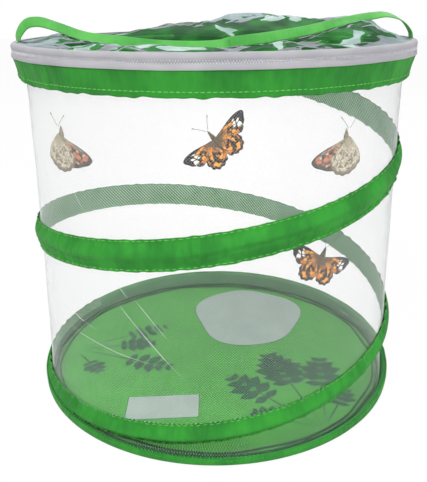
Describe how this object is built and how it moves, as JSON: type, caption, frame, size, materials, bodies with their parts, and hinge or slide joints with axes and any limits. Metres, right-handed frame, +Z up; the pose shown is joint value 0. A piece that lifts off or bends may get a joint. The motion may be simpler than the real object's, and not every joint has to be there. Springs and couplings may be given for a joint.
{
  "type": "pop-up butterfly habitat",
  "caption": "Cylindrical pop-up habitat of fine netting, held open by a coiled spring wire in a spiral fabric sleeve, with a hooped rim, a zipped clear film lid and a slack ribbon strap.",
  "frame": {"origin": "middle of the floor's underside, on the ground", "axes": "+Z up, -Y towards the front that the picture shows, +X to the right as seen from the front"},
  "size_m": [0.307, 0.307, 0.2986],
  "materials": {
    "floor_fabric": "matte printed fabric",
    "green_fabric": "matte woven fabric",
    "green_ribbon": "satin ribbon",
    "white_netting": "fine open netting",
    "white_tape": "woven zip tape",
    "white_teeth": "moulded coil",
    "clear_film": "clear crumpled film",
    "spring_steel": "drawn spring wire",
    "crimped_metal": "crimped",
    "nickel": "nickel plate"
  },
  "bodies": {
    "base": {"floor_panel": "floor_fabric", "base_binding": "green_fabric", "base_hoop_wire": "spring_steel", "base_hoop_ferrule": "crimped_metal", "net_wall": "white_netting", "spiral_sleeve": "green_fabric", "spiral_spring_wire": "spring_steel"},
    "rim": {"top_band": "green_fabric", "top_hoop_wire": "spring_steel", "top_hoop_ferrule": "crimped_metal", "zip_tape_lower": "white_tape", "zip_teeth_lower": "white_teeth", "zip_stop_lower_left": "nickel", "zip_stop_lower_right": "nickel"},
    "lid": {"lid_film": "clear_film", "zip_tape_upper": "white_tape", "zip_teeth_upper": "white_teeth", "zip_stop_upper_left": "nickel", "zip_stop_upper_right": "nickel", "lid_hinge_strip": "white_tape"},
    "slider": {"zip_slider": "nickel"},
    "pull": {"zip_pull": "nickel"},
    "strap": {"hanging_strap": "green_ribbon"}
  },
  "joints": [
    {"name": "collapse", "type": "slide", "parent": "base", "child": "rim", "axis": [0, 0, 1], "range_m": [-0.24, 0], "stiffness_N_per_m": 20, "springref_m": 0.1, "deforming": ["net_wall", "spiral_sleeve", "spiral_spring_wire"]},
    {"name": "lid_hinge", "type": "hinge", "parent": "rim", "child": "lid", "pos_m": [0, 0.1515, 0.276], "axis": [-1, 0, 0], "range_deg": [0, 110]},
    {"name": "zip_travel", "type": "hinge", "parent": "rim", "child": "slider", "pos_m": [0, 0, 0.276], "axis": [0, 0, 1], "range_deg": [-318, 0]},
    {"name": "zip_pull_swing", "type": "hinge", "parent": "slider", "child": "pull", "pos_m": [0.05523, 0.14386, 0.276], "axis": [0, 0, 1], "range_deg": [0, 175]},
    {"name": "strap_lift", "type": "slide", "parent": "lid", "child": "strap", "axis": [0, 0, 1], "range_m": [0, 0.045], "deforming": ["hanging_strap"]}
  ]
}
